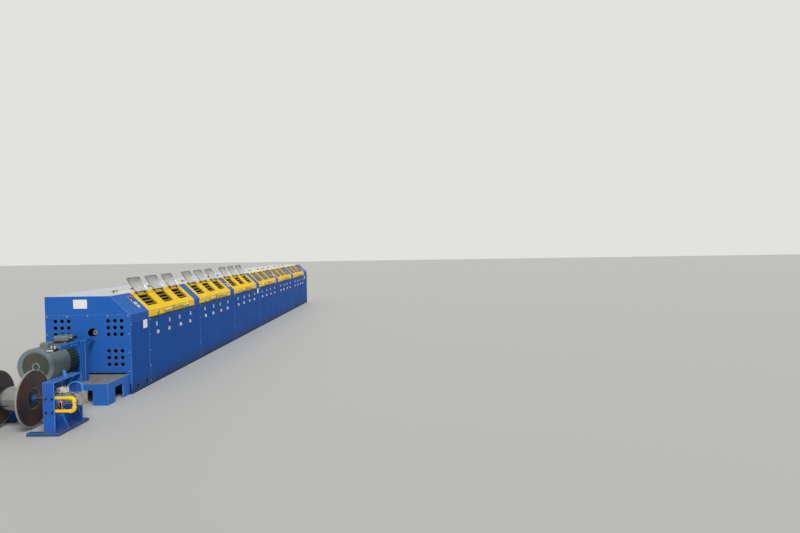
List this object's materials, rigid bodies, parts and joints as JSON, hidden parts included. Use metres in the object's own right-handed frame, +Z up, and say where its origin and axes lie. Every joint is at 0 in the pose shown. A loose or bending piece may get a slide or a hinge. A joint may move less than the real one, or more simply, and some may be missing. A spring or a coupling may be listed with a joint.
{
  "type": "tubular stranding machine",
  "caption": "Long blue housing with hinged yellow doors, window lids and a spinning tube; drive motor, wire guide and pay-off stand at one end.",
  "frame": {"origin": "on the floor, under the rotor axis and the first bearing", "axes": "+X to the door side, +Y along the machine away from the pay-off stand, +Z up"},
  "size_m": [1.1475, 12.8179, 1.2568],
  "materials": {
    "blue_paint": "semi-gloss paint on sheet and plate",
    "yellow_paint": "gloss paint",
    "lid_sheet": "satin sheet with oil stains",
    "machined_steel": "turned",
    "bobbin_steel": "worn",
    "plated_plates": "yellowish plating",
    "button_plastic": "moulded",
    "motor_paint": "semi-gloss enamel",
    "rusty_reel": "rusty, with worn rims",
    "drawn_wire": "bright close-wound wire",
    "cylinder_alloy": "satin"
  },
  "bodies": {
    "housing": {"base_rails": "blue_paint", "base_beams": "blue_paint", "corner_posts": "blue_paint", "fork_pockets": "blue_paint", "bulkheads": "blue_paint", "near_end_panel": "blue_paint", "near_end_head_plate": "blue_paint", "far_end_panel": "blue_paint", "front_panels": "blue_paint", "back_panels": "blue_paint", "top_cover": "blue_paint", "end_hoods": "blue_paint", "gap_strips": "blue_paint", "panel_latches": "plated_plates", "control_buttons": "button_plastic", "drive_platform": "blue_paint", "motor_body": "motor_paint", "fan_cowl": "motor_paint", "terminal_boxes": "motor_paint", "guide_post": "blue_paint", "stand_upright_left": "blue_paint", "stand_upright_right": "blue_paint", "stand_base": "blue_paint", "pintle_left": "machined_steel", "air_cylinder": "cylinder_alloy", "air_valves": "cylinder_alloy", "pipe_guard": "yellow_paint"},
    "door_1": {"door_bay_1": "yellow_paint"},
    "door_2": {"door_bay_2": "yellow_paint"},
    "door_3": {"door_bay_3": "yellow_paint"},
    "door_4": {"door_bay_4": "yellow_paint"},
    "door_5": {"door_bay_5": "yellow_paint"},
    "door_6": {"door_bay_6": "yellow_paint"},
    "window_lid_1": {"lid_1": "lid_sheet"},
    "window_lid_2": {"lid_2": "lid_sheet"},
    "window_lid_3": {"lid_3": "lid_sheet"},
    "window_lid_4": {"lid_4": "lid_sheet"},
    "window_lid_5": {"lid_5": "lid_sheet"},
    "window_lid_6": {"lid_6": "lid_sheet"},
    "window_lid_7": {"lid_7": "lid_sheet"},
    "window_lid_8": {"lid_8": "lid_sheet"},
    "window_lid_9": {"lid_9": "lid_sheet"},
    "window_lid_10": {"lid_10": "lid_sheet"},
    "window_lid_11": {"lid_11": "lid_sheet"},
    "window_lid_12": {"lid_12": "lid_sheet"},
    "window_lid_13": {"lid_13": "lid_sheet"},
    "window_lid_14": {"lid_14": "lid_sheet"},
    "window_lid_15": {"lid_15": "lid_sheet"},
    "window_lid_16": {"lid_16": "lid_sheet"},
    "window_lid_17": {"lid_17": "lid_sheet"},
    "window_lid_18": {"lid_18": "lid_sheet"},
    "rotor": {"rotor_tube": "machined_steel", "bobbin_cradles": "machined_steel", "bobbins": "bobbin_steel"},
    "pay_off_reel": {"reel": "rusty_reel", "wire_winding": "drawn_wire"},
    "sliding_pintle": {"pintle_right": "machined_steel"},
    "low_roller": {"guide_roller_low": "machined_steel"},
    "left_roller": {"guide_roller_left": "machined_steel"},
    "right_roller": {"guide_roller_right": "machined_steel"}
  },
  "joints": [
    {"name": "door_1_hinge", "type": "hinge", "parent": "housing", "child": "door_1", "pos_m": [-0.095, 1.188, 1.094], "axis": [0, -1, 0], "range_deg": [0, 50]},
    {"name": "door_2_hinge", "type": "hinge", "parent": "housing", "child": "door_2", "pos_m": [-0.095, 2.938, 1.094], "axis": [0, -1, 0], "range_deg": [0, 50]},
    {"name": "door_3_hinge", "type": "hinge", "parent": "housing", "child": "door_3", "pos_m": [-0.095, 4.688, 1.094], "axis": [0, -1, 0], "range_deg": [0, 50]},
    {"name": "door_4_hinge", "type": "hinge", "parent": "housing", "child": "door_4", "pos_m": [-0.095, 6.438, 1.094], "axis": [0, -1, 0], "range_deg": [0, 50]},
    {"name": "door_5_hinge", "type": "hinge", "parent": "housing", "child": "door_5", "pos_m": [-0.095, 8.188, 1.094], "axis": [0, -1, 0], "range_deg": [0, 50]},
    {"name": "door_6_hinge", "type": "hinge", "parent": "housing", "child": "door_6", "pos_m": [-0.095, 9.938, 1.094], "axis": [0, -1, 0], "range_deg": [0, 50]},
    {"name": "lid_1_hinge", "type": "hinge", "parent": "door_1", "child": "window_lid_1", "pos_m": [0.23917, 0.68133, 1.07242], "axis": [0, -1, 0], "range_deg": [-168, 0]},
    {"name": "lid_2_hinge", "type": "hinge", "parent": "door_1", "child": "window_lid_2", "pos_m": [0.23917, 1.188, 1.07242], "axis": [0, -1, 0], "range_deg": [-168, 0]},
    {"name": "lid_3_hinge", "type": "hinge", "parent": "door_1", "child": "window_lid_3", "pos_m": [0.23917, 1.69467, 1.07242], "axis": [0, -1, 0], "range_deg": [-168, 0]},
    {"name": "lid_4_hinge", "type": "hinge", "parent": "door_2", "child": "window_lid_4", "pos_m": [0.23917, 2.43133, 1.07242], "axis": [0, -1, 0], "range_deg": [-168, 0]},
    {"name": "lid_5_hinge", "type": "hinge", "parent": "door_2", "child": "window_lid_5", "pos_m": [0.23917, 2.938, 1.07242], "axis": [0, -1, 0], "range_deg": [-168, 0]},
    {"name": "lid_6_hinge", "type": "hinge", "parent": "door_2", "child": "window_lid_6", "pos_m": [0.23917, 3.44467, 1.07242], "axis": [0, -1, 0], "range_deg": [-168, 0]},
    {"name": "lid_7_hinge", "type": "hinge", "parent": "door_3", "child": "window_lid_7", "pos_m": [0.23917, 4.18133, 1.07242], "axis": [0, -1, 0], "range_deg": [-168, 0]},
    {"name": "lid_8_hinge", "type": "hinge", "parent": "door_3", "child": "window_lid_8", "pos_m": [0.23917, 4.688, 1.07242], "axis": [0, -1, 0], "range_deg": [-168, 0]},
    {"name": "lid_9_hinge", "type": "hinge", "parent": "door_3", "child": "window_lid_9", "pos_m": [0.23917, 5.19467, 1.07242], "axis": [0, -1, 0], "range_deg": [-168, 0]},
    {"name": "lid_10_hinge", "type": "hinge", "parent": "door_4", "child": "window_lid_10", "pos_m": [0.23917, 5.93133, 1.07242], "axis": [0, -1, 0], "range_deg": [0, 168]},
    {"name": "lid_11_hinge", "type": "hinge", "parent": "door_4", "child": "window_lid_11", "pos_m": [0.23917, 6.438, 1.07242], "axis": [0, -1, 0], "range_deg": [0, 168]},
    {"name": "lid_12_hinge", "type": "hinge", "parent": "door_4", "child": "window_lid_12", "pos_m": [0.23917, 6.94467, 1.07242], "axis": [0, -1, 0], "range_deg": [0, 168]},
    {"name": "lid_13_hinge", "type": "hinge", "parent": "door_5", "child": "window_lid_13", "pos_m": [0.23917, 7.68133, 1.07242], "axis": [0, -1, 0], "range_deg": [0, 168]},
    {"name": "lid_14_hinge", "type": "hinge", "parent": "door_5", "child": "window_lid_14", "pos_m": [0.23917, 8.188, 1.07242], "axis": [0, -1, 0], "range_deg": [0, 168]},
    {"name": "lid_15_hinge", "type": "hinge", "parent": "door_5", "child": "window_lid_15", "pos_m": [0.23917, 8.69467, 1.07242], "axis": [0, -1, 0], "range_deg": [0, 168]},
    {"name": "lid_16_hinge", "type": "hinge", "parent": "door_6", "child": "window_lid_16", "pos_m": [0.23917, 9.43133, 1.07242], "axis": [0, -1, 0], "range_deg": [0, 168]},
    {"name": "lid_17_hinge", "type": "hinge", "parent": "door_6", "child": "window_lid_17", "pos_m": [0.23917, 9.938, 1.07242], "axis": [0, -1, 0], "range_deg": [0, 168]},
    {"name": "lid_18_hinge", "type": "hinge", "parent": "door_6", "child": "window_lid_18", "pos_m": [0.23917, 10.44467, 1.07242], "axis": [0, -1, 0], "range_deg": [0, 168]},
    {"name": "rotor_spin", "type": "hinge", "parent": "housing", "child": "rotor", "pos_m": [0, 0, 0.68], "axis": [0, 1, 0], "continuous": true},
    {"name": "reel_spin", "type": "hinge", "parent": "housing", "child": "pay_off_reel", "pos_m": [0, -1.38, 0.28], "axis": [1, 0, 0], "continuous": true},
    {"name": "pintle_slide", "type": "slide", "parent": "housing", "child": "sliding_pintle", "axis": [1, 0, 0], "range_m": [0, 0.06]},
    {"name": "low_roller_spin", "type": "hinge", "parent": "housing", "child": "low_roller", "pos_m": [-0.002, -0.868, 0.615], "axis": [1, 0, 0], "continuous": true},
    {"name": "left_roller_spin", "type": "hinge", "parent": "housing", "child": "left_roller", "pos_m": [-0.0185, -0.818, 0.64], "axis": [0, 0, 1], "continuous": true},
    {"name": "right_roller_spin", "type": "hinge", "parent": "housing", "child": "right_roller", "pos_m": [0.0145, -0.818, 0.64], "axis": [0, 0, 1], "continuous": true}
  ]
}
